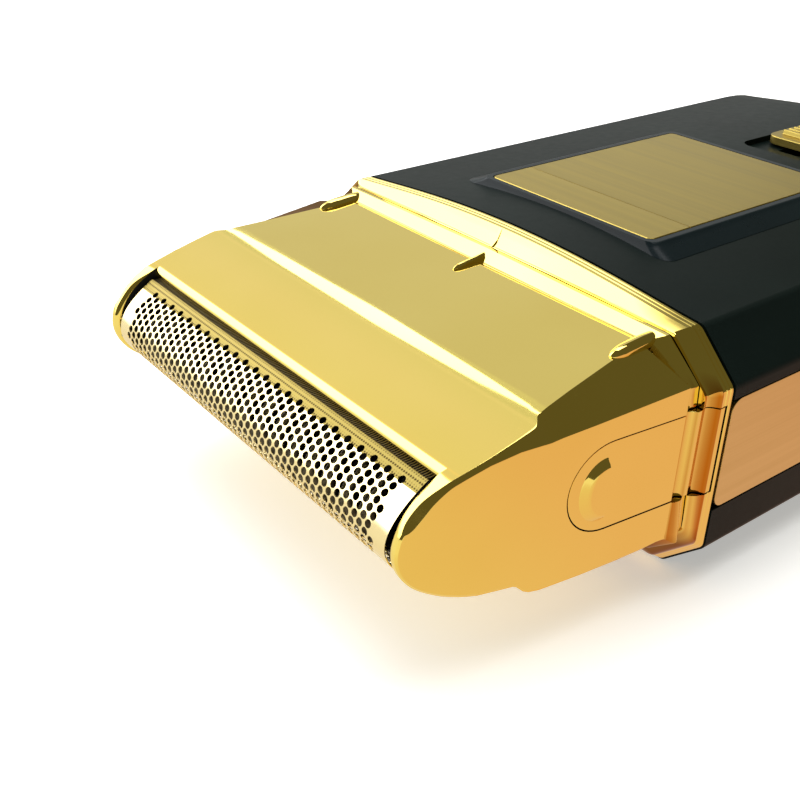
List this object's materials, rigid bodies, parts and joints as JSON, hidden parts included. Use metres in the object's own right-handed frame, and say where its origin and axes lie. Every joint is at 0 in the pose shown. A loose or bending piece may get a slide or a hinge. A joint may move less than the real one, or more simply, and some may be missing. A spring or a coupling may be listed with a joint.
{
  "type": "foil shaver",
  "caption": "Slim rechargeable foil shaver lying on its back: pull-off plated head with one arched foil, sprung side releases, slide switch and base charging inlet.",
  "frame": {"origin": "middle of the footprint on the surface the shaver lies on, under the middle of its length and width", "axes": "+Z out of the shaver's front face, -Y towards the foil, +Y towards the base, X across the width"},
  "size_m": [0.0606, 0.114, 0.03],
  "materials": {
    "polished_gold": "mirror-polished gold plate",
    "foil_gold": "bright gold-plated perforated foil",
    "brushed_gold": "satin, brushed across",
    "black_shell": "satin black lacquer",
    "dark_plastic": "moulded, fine matt",
    "grey_plastic": "moulded, matt",
    "steel": "ground",
    "spring_steel": "drawn wire and rolled strip",
    "zinc_can": "zinc-plated",
    "rubber": "matt",
    "cell_wrap": "shrink wrap",
    "board_green": "solder mask",
    "nickel": "nickel strip",
    "clear_lens": "frosted clear",
    "red_wire": "insulation",
    "black_wire": "insulation",
    "magnet": "bonded ferrite"
  },
  "bodies": {
    "body": {"neck_deck": "dark_plastic", "hair_seal": "rubber", "neck_flange": "polished_gold", "front_shell": "black_shell", "back_shell": "black_shell", "plate_bezel": "dark_plastic", "name_plate": "brushed_gold", "side_inlay_left": "brushed_gold", "side_inlay_right": "brushed_gold", "chassis": "grey_plastic", "motor_can": "zinc_can", "motor_end_cap": "dark_plastic", "motor_magnet_left": "magnet", "motor_magnet_right": "magnet", "motor_screw_left": "steel", "motor_screw_right": "steel", "motor_lead_red": "red_wire", "motor_lead_black": "black_wire", "bridge_leaf_left": "spring_steel", "bridge_leaf_right": "spring_steel", "release_spring_left": "spring_steel", "release_spring_right": "spring_steel", "battery_cell_left": "cell_wrap", "battery_cell_right": "cell_wrap", "battery_tab_left": "nickel", "battery_tab_right": "nickel", "battery_strap": "nickel", "battery_lead_red": "red_wire", "battery_lead_black": "black_wire", "circuit_board": "board_green", "board_screw_left": "steel", "board_screw_right": "steel", "switch_body": "dark_plastic", "lamp_lens": "clear_lens", "charge_socket": "dark_plastic", "charge_pin_left": "nickel", "charge_pin_right": "nickel", "case_screw_front_left": "steel", "case_screw_front_right": "steel", "case_screw_rear_left": "steel", "case_screw_rear_right": "steel"},
    "head": {"head_frame": "polished_gold", "foil_spring_left": "spring_steel", "foil_spring_right": "spring_steel"},
    "foil_unit": {"foil": "foil_gold", "foil_carrier": "dark_plastic"},
    "bridge": {"drive_bridge": "grey_plastic", "drive_pin": "steel", "cutter_spring": "spring_steel"},
    "cutter": {"cutter_block": "steel"},
    "rotor": {"motor_shaft": "steel", "eccentric": "grey_plastic"},
    "button_left": {"release_button_left": "polished_gold"},
    "button_right": {"release_button_right": "polished_gold"},
    "knob": {"power_knob": "brushed_gold"}
  },
  "joints": [
    {"name": "head_pull_off", "type": "slide", "parent": "body", "child": "head", "axis": [0, -1, 0], "range_m": [0, 0.03]},
    {"name": "foil_float", "type": "slide", "parent": "head", "child": "foil_unit", "axis": [0, 1, 0], "range_m": [0, 0.0008], "stiffness_N_per_m": 300, "springref_m": -0.001, "deforming": ["foil_spring_left", "foil_spring_right"]},
    {"name": "bridge_swing", "type": "slide", "parent": "body", "child": "bridge", "axis": [1, 0, 0], "range_m": [-0.0012, 0.0012], "stiffness_N_per_m": 400, "deforming": ["bridge_leaf_left", "bridge_leaf_right"]},
    {"name": "cutter_float", "type": "slide", "parent": "bridge", "child": "cutter", "axis": [0, 1, 0], "range_m": [0, 0.0008], "deforming": ["cutter_spring"]},
    {"name": "motor_spin", "type": "hinge", "parent": "body", "child": "rotor", "pos_m": [0, -0.005, 0.0164], "axis": [0, 1, 0], "continuous": true},
    {"name": "release_left_press", "type": "slide", "parent": "body", "child": "button_left", "axis": [1, 0, 0], "range_m": [0, 0.0012], "stiffness_N_per_m": 900, "springref_m": -0.001, "deforming": ["release_spring_left"]},
    {"name": "release_right_press", "type": "slide", "parent": "body", "child": "button_right", "axis": [-1, 0, 0], "range_m": [0, 0.0012], "stiffness_N_per_m": 900, "springref_m": -0.001, "deforming": ["release_spring_right"]},
    {"name": "power_slide", "type": "slide", "parent": "body", "child": "knob", "axis": [0, -1, 0], "range_m": [0, 0.004]}
  ],
  "couplings": [
    {"joint": "cutter_float", "follows": "foil_float", "ratio": 1}
  ]
}
